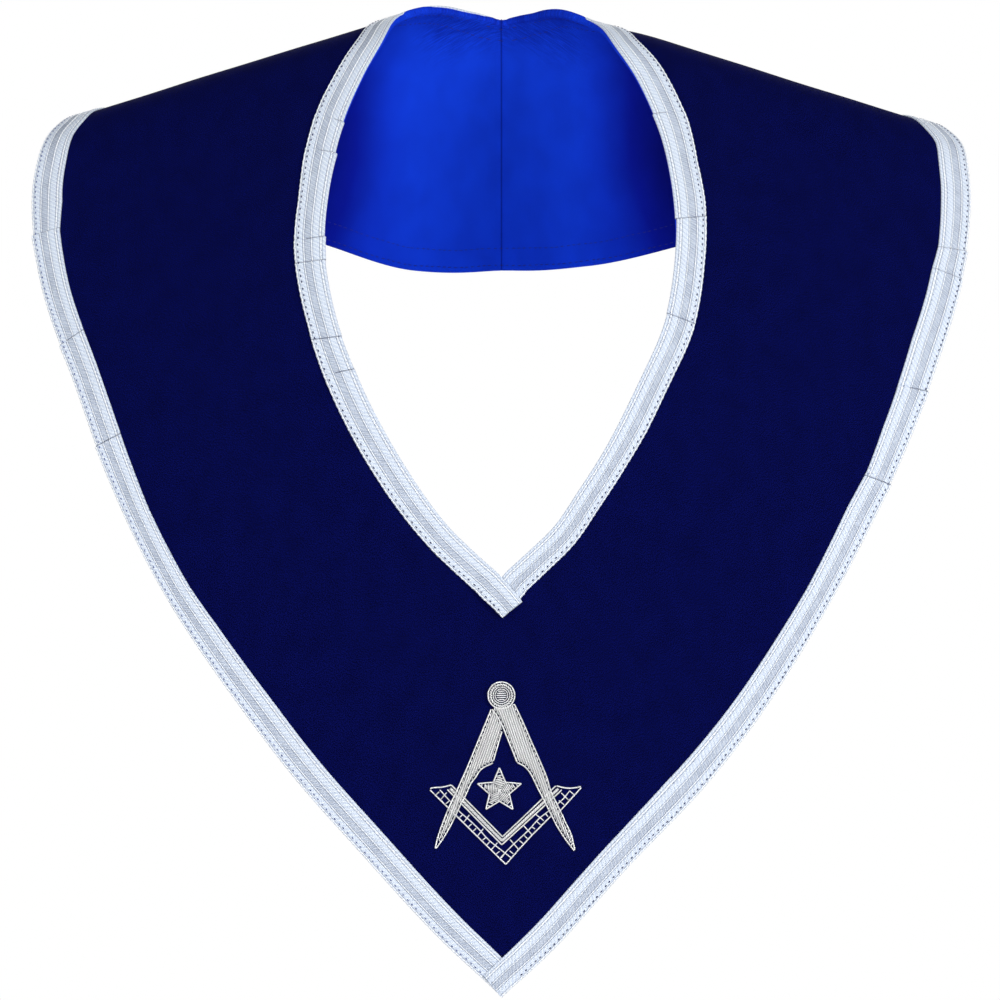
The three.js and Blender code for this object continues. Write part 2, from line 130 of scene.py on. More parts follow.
def cloth_axes(x, v):
    step = 0.2
    across = (cloth_point(x + step, v) - cloth_point(x - step, v)) / (2 * step)
    lengthways = (cloth_point(x, v + step) - cloth_point(x, v - step)) / (2 * step)
    return across, lengthways


def unit(vectors):
    return vectors / np.linalg.norm(vectors, axis=-1, keepdims=True)


def reach_along(points):
    steps = np.linalg.norm(np.diff(points, axis=0), axis=1)
    return np.concatenate([[0], np.cumsum(steps)])


def sampled(spots, reach, rows):
    return np.stack([np.interp(spots, reach, rows[:, k]) for k in range(rows.shape[1])], axis=-1)


# Low waves in the cloth, and the pinched place with short creases in the middle of the nape
NAPE = 29.0
WIDE_WAVE = 0.30
SMALL_WAVE = 0.10
CREASES = 11
CREASE_HEIGHT = 0.45
PINCH_DEPTH = 1.0


def ripple(x, v):
    wide = WIDE_WAVE * np.sin(x / 29 + 0.8) * np.sin(v / 41 + 0.4)
    small = SMALL_WAVE * np.sin(x / 9.1 + v / 23 + 1.7) * np.sin(v / 13.7 - x / 31)
    reach = np.hypot(x, v - NAPE)
    turn = np.arctan2(v - NAPE, x)
    fading = np.exp(-(reach / 20) ** 2) * np.clip(reach / 7, 0, 1)
    creases = CREASE_HEIGHT * np.sin(CREASES * turn + 0.6) * fading
    pinch = -PINCH_DEPTH * np.exp(-(x / 2.6) ** 2) * np.exp(-((v - NAPE) / 7) ** 2)
    return wide + small + creases + pinch


def raised(x, v, height):
    across, lengthways = cloth_axes(x, v)
    normal = unit(np.cross(across, lengthways))
    lift = np.asarray(height + ripple(x, v))
    return cloth_point(x, v) + normal * lift[..., None]


# One edge of the cloth: a smooth curve from the front centre, round the back, to the front centre again
def spline(points, t):
    spot = t * (len(points) - 1)
    first = np.minimum(np.floor(spot).astype(int), len(points) - 2)
    share = (spot - first)[:, None]
    row = np.vstack([2 * points[0] - points[1], points, 2 * points[-1] - points[-2]])
    a, b, c, d = (row[first + k] for k in range(4))

    def gap(p, q):
        return np.sqrt(np.linalg.norm(q - p, axis=1, keepdims=True))

    ab, bc, cd = gap(a, b), gap(b, c), gap(c, d)
    start = ((b - a) / ab - (c - a) / (ab + bc) + (c - b) / bc) * bc
    end = ((c - b) / bc - (d - b) / (bc + cd) + (d - c) / cd) * bc
    square, cube = share ** 2, share ** 3
    bend = (-3 * b + 3 * c - 2 * start - end) * square
    return b + start * share + bend + (2 * b - 2 * c + start + end) * cube


class Edge:
    def __init__(self, across, lengthways, shift, tilt, inwards):
        sides = []
        for side in (-1, 1):
            x = side * across * SHOULDER_REACH + shift
            v = lengthways * FRONT_LENGTH + side * tilt
            sides.append(np.stack([x, v], axis=1))
        points = np.vstack([sides[0], sides[1][-2::-1]])
        self.t = np.linspace(0, 1, 8001)
        self.places = spline(points, self.t)
        x, v = self.places.T
        self.spots = cloth_point(x, v)
        self.s = reach_along(self.spots)
        self.length = self.s[-1]
        a, b = cloth_axes(x, v)
        e, f, g = (a * a).sum(1), (a * b).sum(1), (b * b).sum(1)
        follow = np.stack([np.gradient(x, self.s), np.gradient(v, self.s)], axis=1)
        turned_x = -(f * follow[:, 0] + g * follow[:, 1])
        turned_v = e * follow[:, 0] + f * follow[:, 1]
        inward = np.stack([turned_x, turned_v], axis=1)
        size = np.sqrt(e * turned_x ** 2 + 2 * f * turned_x * turned_v + g * turned_v ** 2)
        self.follow = follow
        self.inward = inwards * inward / size[:, None]
        self.leans = []
        for k in (0, -1):
            down_follow = f[k] * follow[k, 0] + g[k] * follow[k, 1]
            down_inward = f[k] * self.inward[k, 0] + g[k] * self.inward[k, 1]
            self.leans.append(down_follow / down_inward)

    def at(self, t):
        return np.interp(t, self.t, self.s)

    # The place at a distance s along the edge and w in from it; past the ends the edge runs on straight
    def place(self, s, w, mitre=False):
        s, w = np.broadcast_arrays(np.asarray(s, float), np.asarray(w, float))
        inside = np.clip(s, 0, self.length)
        follow = sampled(inside, self.s, self.follow)
        spot = sampled(inside, self.s, self.places) + (s - inside)[..., None] * follow
        step = sampled(inside, self.s, self.inward)
        if mitre:
            near = self.leans[0] * np.clip(1 - s / MITRE_LENGTH, 0, 1)
            far = self.leans[1] * np.clip(1 - (self.length - s) / MITRE_LENGTH, 0, 1)
            step = step + (near + far)[..., None] * follow
        spot = spot + w[..., None] * step
        return spot[..., 0], spot[..., 1]


NECK = Edge(SECTIONS[:, 0], SECTIONS[:, 1], SECTIONS[:, 4], 0 * SECTIONS[:, 6], 1)
RIM = Edge(SECTIONS[:, 2], SECTIONS[:, 3], SECTIONS[:, 5], SECTIONS[:, 6], -1)


# Meshes from nets of points in millimetres
def net_faces(rows, columns, ring=False, closed=False):
    i = np.arange(rows if ring else rows - 1)[:, None]
    j = np.arange(columns if closed else columns - 1)[None, :]
    below, beside = (i + 1) % rows, (j + 1) % columns
    corners = [i * columns + j, below * columns + j, below * columns + beside, i * columns + beside]
    return np.stack(np.broadcast_arrays(*corners), axis=-1).reshape(-1, 4)


def new_piece(name, points, faces, spread, material, slot, pleat_shade=None):
    mesh = bpy.data.meshes.new(name)
    mesh.from_pydata((np.asarray(points) * MM).tolist(), [], faces)
    mesh.validate()
    corner = np.empty(len(mesh.loops), dtype=np.int32)
    mesh.loops.foreach_get("vertex_index", corner)
    layers = [("spread", np.asarray(spread) * MM)]
    if pleat_shade is not None:
        layers.append(("pleat_shade", np.stack([pleat_shade, pleat_shade], axis=1)))
    for label, values in layers:
        layer = mesh.uv_layers.new(name=label)
        layer.data.foreach_set("uv", values[corner].astype(np.float32).ravel())
    mesh.polygons.foreach_set("use_smooth", np.ones(len(mesh.polygons), dtype=bool))
    mesh.materials.append(material)
    mesh.update()
    piece = bpy.data.objects.new(name, mesh)
    scene.collection.objects.link(piece)
    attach(piece, "root")
    return piece


class Gathered:
    """Many small forms that make one mesh"""

    def __init__(self):
        self.points = []
        self.faces = []
        self.spread = []
        self.count = 0

    def add(self, points, faces, spread):
        self.points.append(np.asarray(points))
        self.spread.append(np.asarray(spread))
        self.faces += [[k + self.count for k in face] for face in faces]
        self.count += len(points)

    def piece(self, name, material, slot):
        points, spread = np.vstack(self.points), np.vstack(self.spread)
        return new_piece(name, points, self.faces, spread, material, slot)

    # A round wire along a path; ups are directions away from the cloth, and the ends are rounded
    def wire(self, path, ups, radius, sides=6):
        path = np.asarray(path, float)
        reach = reach_along(path)
        ends = np.array([0, 0.25 * radius, 0.7 * radius])
        inner = reach[(reach > 1.2 * radius) & (reach < reach[-1] - 1.2 * radius)]
        spots = np.concatenate([ends, inner, reach[-1] - ends[::-1]])
        sizes = np.full(len(spots), radius)
        sizes[[0, -1]] *= 0.45
        sizes[[1, -2]] *= 0.8
        points = sampled(spots, reach, path)
        up = sampled(spots, reach, ups)
        forward = unit(np.gradient(points, axis=0) + 1e-9)
        beside = unit(np.cross(forward, up))
        above = np.cross(beside, forward)
        turn = 2 * math.pi * np.arange(sides) / sides
        rings = points[:, None, :] + sizes[:, None, None] * (
            np.cos(turn)[None, :, None] * beside[:, None, :]
            + np.sin(turn)[None, :, None] * above[:, None, :]
        )
        spread = np.stack(np.broadcast_arrays(spots[:, None], radius * turn[None, :]), axis=-1)
        faces = net_faces(len(spots), sides, closed=True).tolist()
        last = (len(spots) - 1) * sides
        faces.append(list(range(sides)))
        faces.append([last + k for k in range(sides)][::-1])
        self.add(rings.reshape(-1, 3), faces, spread.reshape(-1, 2))


# Materials: each has a function that returns what goes into its shader
def material(name, build):
    made = bpy.data.materials.new(name)
    made.use_nodes = True
    nodes, links = made.node_tree.nodes, made.node_tree.links

    def fill(target, inputs):
        for key, value in inputs.items():
            if isinstance(value, bpy.types.NodeSocket):
                links.new(value, target.inputs[key])
            else:
                target.inputs[key].default_value = value

    def node(kind, inputs=None, **settings):
        new = nodes.new(kind)
        for key, value in settings.items():
            setattr(new, key, value)
        fill(new, inputs or {})
        return new

    fill(nodes["Principled BSDF"], build(node))
    return made


def linear(red, green, blue):
    values = []
    for share in (red / 255, green / 255, blue / 255):
        values.append(share / 12.92 if share <= 0.04045 else ((share + 0.055) / 1.055) ** 2.4)
    return (*values, 1.0)


def stretched(node, source, scale):
    return node("ShaderNodeVectorMath", {0: source, 1: scale}, operation="MULTIPLY").outputs[0]


def ramp(node, source, stops):
    made = node("ShaderNodeValToRGB", {"Fac": source})
    elements = made.color_ramp.elements
    while len(elements) < len(stops):
        elements.new(1.0)
    for element, (spot, colour) in zip(elements, stops):
        element.position = spot
        element.color = colour
    return made.outputs["Color"]


def maths(node, operation, a, b=0.0):
    return node("ShaderNodeMath", {0: a, 1: b}, operation=operation).outputs[0]


def times(node, a, b):
    return maths(node, "MULTIPLY", a, b)


def plus(node, a, b):
    return maths(node, "ADD", a, b)


def parted(node, vector):
    return node("ShaderNodeSeparateXYZ", {0: vector}).outputs


def mixed(node, factor, a, b, blend="MIX"):
    inputs = {0: factor, 6: a, 7: b}
    return node("ShaderNodeMix", inputs, data_type="RGBA", blend_type=blend).outputs[2]


def tinted(node, a, b):
    return mixed(node, 1.0, a, b, "MULTIPLY")


def noise(node, vector, scale_x, scale_y, detail=2.0):
    scaled = stretched(node, vector, (scale_x, scale_y, 1.0))
    return node("ShaderNodeTexNoise", {"Vector": scaled, "Detail": detail}).outputs[0]


def ranged(node, value, low, high, first=0.0, last=1.0):
    return node("ShaderNodeMapRange", {0: value, 1: low, 2: high, 3: first, 4: last}).outputs[0]


def uv(node, name):
    return node("ShaderNodeUVMap", uv_map=name).outputs[0]


def bumped(node, height, strength, distance):
    inputs = {"Height": height, "Strength": strength, "Distance": distance}
    return node("ShaderNodeBump", inputs).outputs[0]


def weave(node, spread, pitch):
    x, v, _ = parted(node, stretched(node, spread, (1 / pitch, 1 / pitch, 1)))
    wave_x, wave_v = (maths(node, "SINE", times(node, part, 2 * math.pi)) for part in (x, v))
    return times(node, wave_x, wave_v)


PLAIN = (1.0, 1.0, 1.0, 1.0)


# Wool cloth with a short nap
def navy(node):
    spread = uv(node, "spread")
    nap = noise(node, spread, 640.0, 480.0, 3.0)
    cloud = noise(node, spread, 22.0, 14.0)
    tone = ramp(node, nap, [(0.40, linear(0, 0, 2)), (0.60, linear(7, 14, 90))])
    shade = ramp(node, cloud, [(0.30, (0.80, 0.80, 0.82, 1)), (0.62, PLAIN)])
    twill = weave(node, spread, 0.0011)
    height = plus(node, times(node, twill, 0.25), nap)
    return {
        "Base Color": tinted(node, tone, shade),
        "Normal": bumped(node, height, 0.5, 0.00025),
        "Roughness": 0.95,
        "Specular IOR Level": 0.03,
        "Sheen Weight": 0.02,
        "Sheen Roughness": 0.5,
        "Sheen Tint": linear(60, 70, 160),
    }


# Smooth polyester lining with a fine weave, with painted shade at both sides of the back, in the creases at
# the nape and on the lip there
def blue(node):
    spread = uv(node, "spread")
    grain = noise(node, spread, 1500.0, 1500.0)
    cloud = noise(node, spread, 16.0, 10.0, 1.0)
    tone = ramp(node, grain, [(0.36, linear(3, 44, 186)), (0.64, linear(24, 82, 255))])
    shade = ramp(node, cloud, [(0.35, (0.86, 0.86, 0.90, 1)), (0.65, PLAIN)])
    x, v, _ = parted(node, spread)
    from_middle = maths(node, "ABSOLUTE", x)
    # Painted shade at both sides of the back, weaker lower down
    over_back = ranged(node, v, -0.04, 0.01)
    aside = ranged(node, maths(node, "ABSOLUTE", plus(node, x, 0.004)), 0.041, 0.089)
    lower = ranged(node, v, 0.085, 0.15, 1.0, 0.45)
    side_shade_mask = times(node, aside, over_back)
    painted_side_shade = ramp(node, times(node, side_shade_mask, lower), [
        (0.0, PLAIN), (0.25, (0.72, 0.68, 0.82, 1)), (0.56, (0.30, 0.17, 0.44, 1)),
        (0.9, (0.12, 0.06, 0.22, 1)),
    ])
    # Painted shade in the short creases near the nape
    slanted = maths(node, "SUBTRACT", v, times(node, from_middle, 0.5))
    crease_shade_noise = noise(node, node("ShaderNodeCombineXYZ", {0: x, 1: slanted}).outputs[0], 30.0, 190.0)
    painted_crease_shade = ramp(node, crease_shade_noise, [(0.38, (0.52, 0.50, 0.64, 1)), (0.62, (0.92, 0.92, 0.94, 1))])
    near_neck = ranged(node, v, 0.052, 0.030)
    near_middle = ranged(node, from_middle, 0.048, 0.030)
    nape = times(node, times(node, near_neck, near_middle), over_back)
    seam_line = ranged(node, from_middle, 0.0001, 0.0005)
    dark_seam = ramp(node, seam_line, [(0.0, (0.40, 0.38, 0.50, 1)), (1.0, PLAIN)])
    # Painted shade on the lining's lip at the nape
    edge_gap = plus(node, v, times(node, from_middle, 0.72))
    lip = times(node, ranged(node, edge_gap, 0.0315, 0.0295), over_back)
    colour = tinted(node, tinted(node, tone, shade), painted_side_shade)
    for share, tint in ((lip, (0.72, 0.66, 0.78, 1)), (nape, painted_crease_shade), (over_back, dark_seam)):
        colour = mixed(node, share, colour, tinted(node, colour, tint))
    return {
        "Base Color": colour,
        "Normal": bumped(node, weave(node, spread, 0.0007), 0.35, 0.0001),
        "Roughness": 0.7,
        "Specular IOR Level": 0.05,
    }


# Braid: u is the distance from its stitched side and s the distance along it
STITCH_PITCH = 2.9
RIB_PITCH = 0.00108
LINE_PITCH = 0.0005
RIBBED_MIDDLE = 0.00595
RIBBED_HALF = 0.0014


def white(node):
    spread = uv(node, "spread")
    s, u, _ = parted(node, spread)
    pale, mid, groove_shade = linear(250, 252, 253), linear(223, 230, 239), linear(134, 144, 164)
    # Across the braid: its bands and cords, with dark lines of painted shade in the grooves
    bands = ramp(node, maths(node, "DIVIDE", u, RIM_BRAID * MM), [
        (0.0, mid), (0.03, pale), (0.055, pale), (0.07, groove_shade), (0.09, mid), (0.27, mid), (0.285, groove_shade),
        (0.305, pale), (0.33, pale), (0.345, groove_shade), (0.36, mid), (0.53, mid), (0.545, groove_shade), (0.56, pale),
        (0.58, pale), (0.595, groove_shade), (0.61, mid), (0.80, mid), (0.815, groove_shade), (0.835, pale), (0.88, pale),
        (0.895, groove_shade), (0.915, mid), (1.0, mid),
    ])
    slub = noise(node, spread, 780.0, 560.0)
    crossways = plus(node, s, times(node, u, 0.8))
    stroke = maths(node, "SINE", times(node, crossways, 2900.0))
    flecked = plus(node, slub, times(node, stroke, 0.07))
    fleck = ramp(node, flecked, [(0.40, (0.64, 0.70, 0.82, 1)), (0.56, PLAIN)])
    thread = noise(node, spread, 2600.0, 500.0, 1.0)
    line = ramp(node, thread, [(0.35, (0.93, 0.94, 0.95, 1)), (0.60, PLAIN)])
    colour = tinted(node, tinted(node, bands, fleck), line)
    slanted = plus(node, s, times(node, u, 0.5))
    rib = maths(node, "SINE", times(node, slanted, 2 * math.pi / RIB_PITCH))
    from_ribs = maths(node, "ABSOLUTE", maths(node, "SUBTRACT", u, RIBBED_MIDDLE))
    middle = maths(node, "LESS_THAN", from_ribs, RIBBED_HALF)
    worn = noise(node, spread, 28.0, 28.0)
    depth = ranged(node, worn, 0.35, 0.62, 0.02, 0.18)
    lines = maths(node, "COSINE", times(node, u, 2 * math.pi / LINE_PITCH))
    ribbed = times(node, plus(node, rib, 1.0), depth)
    lined = times(node, plus(node, lines, 1.0), 0.14)
    dark = times(node, plus(node, ribbed, lined), middle)
    shaded = mixed(node, dark, colour, linear(92, 102, 130))
    # Painted shade: a dark line where each pleat is turned over
    pleat_shade = parted(node, uv(node, "pleat_shade"))[0]
    return {
        "Base Color": mixed(node, pleat_shade, shaded, linear(64, 72, 98)),
        "Normal": bumped(node, plus(node, times(node, rib, 0.35), slub), 0.5, 0.00025),
        "Roughness": 0.55,
        "Specular IOR Level": 0.3,
        "Sheen Weight": 0.1,
    }


# Coiled silver wire: the distance along the wire gives its turns
WIRE_TURN = 0.00032


def silver(node):
    spread = uv(node, "spread")
    along_wire, round_wire, _ = parted(node, spread)
    slant = plus(node, along_wire, times(node, round_wire, 0.35))
    turns = maths(node, "SINE", times(node, slant, 2 * math.pi / WIRE_TURN))
    dull = noise(node, spread, 900.0, 900.0)
    tone = ramp(node, dull, [(0.30, linear(216, 216, 217)), (0.65, linear(254, 254, 254))])
    return {
        "Base Color": tone,
        "Normal": bumped(node, turns, 0.45, 0.00005),
        "Metallic": 0.75,
        "Roughness": 0.32,
    }


def thread_finish(dark, pale):
    def build(node):
        twist = noise(node, uv(node, "spread"), 3000.0, 3000.0)
        return {
            "Base Color": ramp(node, twist, [(0.35, dark), (0.65, pale)]),
            "Normal": bumped(node, twist, 0.4, 0.0001),
            "Roughness": 0.8,
        }

    return build


def pale_floor(node):
    spot = node("ShaderNodeTexCoord").outputs["Object"]
    grain = node("ShaderNodeTexNoise", {"Vector": spot, "Scale": 40.0, "Detail": 3.0})
    tone = ramp(node, grain.outputs[0], [(0.35, linear(243, 243, 244)), (0.65, linear(247, 247, 248))])
    return {"Base Color": tone, "Roughness": 0.9}


def white_backdrop(node):
    return {
        "Base Color": (0.0, 0.0, 0.0, 1.0),
        "Specular IOR Level": 0.0,
        "Emission Color": PLAIN,
        "Emission Strength": 1.0,
    }


NAVY = material("navy_wool", navy)
BLUE = material("blue_lining_cloth", blue)
WHITE = material("white_braid_weave", white)
SILVER = material("silver_wire", silver)
BRAID_THREAD = material("stitch_thread", thread_finish(linear(30, 34, 72), linear(58, 64, 104)))
PALE_THREAD = material("pale_stitch_thread", thread_finish(linear(66, 76, 124), linear(112, 124, 170)))
FAINT_THREAD = material("faint_thread", thread_finish(linear(112, 124, 160), linear(168, 178, 204)))
LINING_THREAD = material("lining_thread", thread_finish(linear(5, 12, 96), linear(14, 30, 140)))
FLOOR = material("pale_floor", pale_floor)
BACKDROP = material("white_backdrop", white_backdrop)


EDGE_STEPS = 6
COLUMNS = 46
STATIONS = 560


# A sheet between the neck edge and the rim, with rounded edges, closed round the collar.
# At the neck its edge may stand up higher than its top, as a turned-over lip.
def sheet_net(stations, neck_inset, rim_inset, low, top, lip_top=None, groove=None):
    neck_s, rim_s = NECK.at(stations)[:, None], RIM.at(stations)[:, None]
    turn = np.linspace(-math.pi / 2, math.pi / 2, EDGE_STEPS)[None, :]

    def rounded(inset, high):
        radius = (high - low) / 2
        depth = np.minimum(radius, (top - low) / 2)
        return inset + depth * (1 - np.cos(turn)), (high + low) / 2 + radius * np.sin(turn)

    neck_w, neck_heights = rounded(neck_inset, top if lip_top is None else lip_top)
    rim_w, rim_heights = rounded(rim_inset, top)
    if lip_top is not None:
        neck_w = np.hstack([neck_w, neck_w[:, -1:] + 0.2, neck_w[:, -1:] + 0.5])
        neck_heights = np.hstack([neck_heights, lip_top - 0.2, top + 0 * lip_top])
    neck_x, neck_v = NECK.place(neck_s, neck_w, mitre=True)
    rim_x, rim_v = RIM.place(rim_s, rim_w[:, ::-1], mitre=True)
    share = np.linspace(0, 1, COLUMNS)[None, 1:-1]
    flat_x = neck_x[:, -1:] + (rim_x[:, :1] - neck_x[:, -1:]) * share
    flat_v = neck_v[:, -1:] + (rim_v[:, :1] - neck_v[:, -1:]) * share
    x = np.hstack([neck_x, flat_x, rim_x, flat_x[:, ::-1]])
    v = np.hstack([neck_v, flat_v, rim_v, flat_v[:, ::-1]])
    level = np.ones((1, COLUMNS - 2))
    bands = [neck_heights, top * level, rim_heights[:, ::-1], low * level]
    height = np.hstack([np.broadcast_to(band, (len(stations), band.shape[1])) for band in bands])
    if groove is not None:
        height = height + groove(x, v)
    points = raised(x, v, height)
    spread = np.stack([x, v], axis=-1)
    faces = net_faces(*x.shape, ring=True, closed=True)
    return points.reshape(-1, 3), faces.tolist(), spread.reshape(-1, 2)


even = np.linspace(0, 1, STATIONS, endpoint=False)
seam = 0.5 + np.array([-0.0012, -0.0006, -0.0003, 0, 0.0003, 0.0006, 0.0012])
lining_stations = np.unique(np.concatenate([even, seam]))


# The seam down the middle of the back of the lining
def seam_groove(x, v):
    depth = 0.4 * np.exp(-(x / 0.5) ** 2) - 0.12 * np.exp(-((np.abs(x) - 1.8) / 1.2) ** 2)
    return np.where(v > 0, depth, 0.0)


face_net = sheet_net(even, 1.9, 1.3, FACE_LOW, 0.0)
face = new_piece("face_sheet", *face_net, NAVY, "navy_cloth")
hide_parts("face_cloth")
# At the nape the lining's edge stands up beside the braid, and a little less on the left
nape_x, nape_v = NECK.place(NECK.at(lining_stations), 0.0)
nape_share = np.clip((nape_v + 14) / 10, 0, 1) * (1 - 0.75 * np.exp(-((nape_x + 20) / 13) ** 2))
lining_lip = (1.15 * nape_share - 0.1)[:, None]
lining_inset = (0.45 - 0.95 * nape_share)[:, None]
lining_net = sheet_net(
    lining_stations, lining_inset, 0.2, LINING_LOW, LINING_TOP, lining_lip, seam_groove
)
lining = new_piece("lining_sheet", *lining_net, BLUE, "blue_lining")
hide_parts("lining")

# The cross-section of the braid from its stitched side: distance across and height, in millimetres
BRAID_PROFILE = [
    (0.00, 0.35), (0.20, 0.85), (0.45, 1.02), (0.75, 0.95), (0.95, 0.70), (1.20, 0.92), (1.80, 0.96),
    (2.50, 1.00), (3.20, 0.98), (3.65, 0.90), (3.85, 0.68), (4.10, 1.12), (4.30, 1.26), (4.50, 1.12),
    (4.70, 0.75), (4.95, 1.05), (5.20, 0.76), (5.45, 1.07), (5.70, 0.78), (5.95, 1.07), (6.20, 0.78),
    (6.45, 1.07), (6.70, 0.78), (6.95, 1.05), (7.20, 0.75), (7.40, 1.12), (7.60, 1.26), (7.80, 1.12),
    (8.05, 0.68), (8.30, 0.92), (9.00, 0.99), (9.80, 1.00), (10.50, 0.98), (10.90, 0.92), (11.10, 0.68),
    (11.35, 1.02), (11.70, 1.05), (12.00, 0.98), (12.20, 0.72), (12.50, 0.90), (13.00, 0.92), (13.40, 0.80),
    (13.60, 0.35),
]
BRAID_LOW = 0.03
SCALLOP = 0.14
SWAY = 0.2


# Pleats where the braid turns a bend: distance along, how much lies over, its slant across the braid,
# which way it lies, how far the edge juts out there, and the share of the width crossed by its painted
# shade line
def pleat_height(s, pleats):
    lift = np.zeros(s.shape)
    for at, rise, slant, side, jut, span in pleats:
        run = (s - at) * side
        over = np.clip(run / 0.4 + 0.5, 0, 1) * np.exp(-np.clip(run, 0, None) / 6.5)
        lift = lift + rise * over - 0.4 * np.exp(-(run / 0.25) ** 2)
    return lift


def pleat_jut(s, share, pleats):
    out = np.zeros(np.broadcast(s, share).shape)
    for at, rise, slant, side, jut, span in pleats:
        run = (s - at) * side
        over = np.clip(run / 0.4 + 0.5, 0, 1) * np.exp(-np.clip(run, 0, None) / 12.0)
        out = out + jut * over * (1 - share)
    return out


def pleat_slant(s, w, pleats):
    return sum(slant * w * np.exp(-((s - at) / 5.5) ** 2) for at, rise, slant, side, jut, span in pleats)


# A thin line of painted shade where each pleat turns over, within the given span of the width
def pleat_crease_shade(s, share, pleats):
    line = np.zeros(np.broadcast(s, share).shape)
    for at, rise, slant, side, jut, span in pleats:
        inside = (share >= span[0]) & (share <= span[1])
        line = np.maximum(line, 0.85 * np.exp(-((s - at) / 0.27) ** 2) * inside)
    return line


# How far an end of braid is raised to lie on the other end: by, up to a place, fading over a length
def end_rise(s, lift):
    by, full, fade, sign = lift
    return by * np.clip(1 - np.maximum(0, (s - full) * sign) / fade, 0, 1)


def braid_strip(edge, width, start, end, stitched_outside, pleats, lift):
    count = int(round(end - start)) + 1
    close = [at + step for at, *_ in pleats for step in (-0.6, -0.3, -0.15, 0.0, 0.15, 0.3, 0.6)]
    s = np.unique(np.concatenate([np.linspace(start, end, count), close]))[:, None]
    profile = np.array(BRAID_PROFILE)
    u = profile[:, 0] * width / RIM_BRAID
    heights = profile[:, 1]
    w = u if stitched_outside else width - u
    order = np.argsort(w)
    w, u, heights = w[order][None, :], u[order][None, :], heights[order][None, :]
    scallop = SCALLOP * np.cos(2 * math.pi * s / STITCH_PITCH) * np.exp(-(u / 0.8) ** 2)
    sway = SWAY * np.sin(s / 17.0) * np.sin(s / 41.0 + 1)
    side = 1 if stitched_outside else -1
    raise_by = end_rise(s, lift)
    top = BRAID_LOW + heights + pleat_height(s, pleats) + raise_by
    bottom_w = w[:, [-1, 0]]
    bottom = BRAID_LOW + raise_by + 0 * bottom_w
    stretch = 1 + widening(edge, s) / width
    spots_w = np.hstack([w * stretch + side * scallop + sway, bottom_w * stretch + sway])
    share = np.hstack([w, bottom_w]) / width
    spots_w = spots_w - pleat_jut(s, share, pleats)
    x, v = edge.place(s + pleat_slant(s, spots_w, pleats), spots_w)
    points = raised(x, v, np.hstack([top, bottom]))
    spread_u = np.hstack([u, u[:, [-1, 0]]]) * RIM_BRAID / width
    spread = np.stack(np.broadcast_arrays(s, spread_u), axis=-1)
    rows, columns = x.shape
    faces = net_faces(rows, columns, closed=True).tolist()
    faces.append(list(range(columns))[::-1])
    faces.append([(rows - 1) * columns + k for k in range(columns)])
    pleat_shade = pleat_crease_shade(s, share, pleats)
    return points.reshape(-1, 3), faces, spread.reshape(-1, 2), pleat_shade.ravel()


# The place along an edge, on one side of the front, that has a height of z
def along_edge(edge, side, z):
    half = len(edge.s) // 2
    part = slice(0, half) if side < 0 else slice(half, None)
    front = edge.spots[part]
    use = front[:, 1] < 0
    order = np.argsort(front[use, 2])
    return float(np.interp(z, front[use, 2][order], edge.s[part][use][order]))


# Places at the front are given by their row of a level view, 1000 rows high
VIEW_HEIGHT = -234.2
MIDDLE_ROW = 500
ROW_STEP = 0.46


def row_height(row):
    return VIEW_HEIGHT - (row - MIDDLE_ROW) * ROW_STEP


def pleat(edge, side, row, rise, slant, jut, span=(0.0, 1.0)):
    return along_edge(edge, side, row_height(row)), rise, slant, side, jut, span


# How much wider than usual the braid is in millimetres, by rows on each side
SPARE_WIDTHS = [
    (NECK, -1, [
        (60, 0.0), (100, 1.1), (160, 1.3), (200, 0.6), (240, 1.2), (320, 0.5), (360, 1.1), (440, 1.0),
        (480, 0.6), (520, -0.3), (590, -0.8),
    ]),
    (NECK, 1, [
        (28, 0.0), (40, 0.5), (80, 1.5), (120, 2.0), (160, 1.0), (200, 1.7), (260, 0.9), (320, 0.8),
        (360, 0.0), (420, 0.0), (450, -0.8), (500, -1.0), (590, -1.0),
    ]),
    (RIM, -1, [
        (125, 0.0), (150, 0.7), (200, 1.2), (235, -0.8), (320, -0.9), (440, -0.9), (480, -1.3),
        (520, -1.9), (600, -1.8), (640, -0.7), (720, 0.0), (940, 0.0),
    ]),
    (RIM, 1, [
        (125, 0.0), (150, 0.8), (200, 0.9), (245, 0.0), (280, 1.3), (350, 1.4), (400, 0.4), (440, 0.0),
        (480, -1.2), (520, -0.3), (600, -1.1), (650, -0.6), (720, 0.0), (800, 0.9), (850, 0.0), (940, 0.0),
    ]),
]


def spare_spots(edge, side, rows):
    spots = np.array([along_edge(edge, side, row_height(row)) for row, extra in rows])
    extras = np.array([extra for row, extra in rows])
    order = np.argsort(spots)
    return edge, side, spots[order], extras[order]


SPARE = [spare_spots(*row) for row in SPARE_WIDTHS]


def widening(edge, s):
    total = np.zeros(np.shape(s))
    for this_edge, side, spots, extras in SPARE:
        if this_edge is edge:
            before, after = (extras[0], 0.0) if side < 0 else (0.0, extras[-1])
            total = total + np.interp(s, spots, extras, left=before, right=after)
    return total


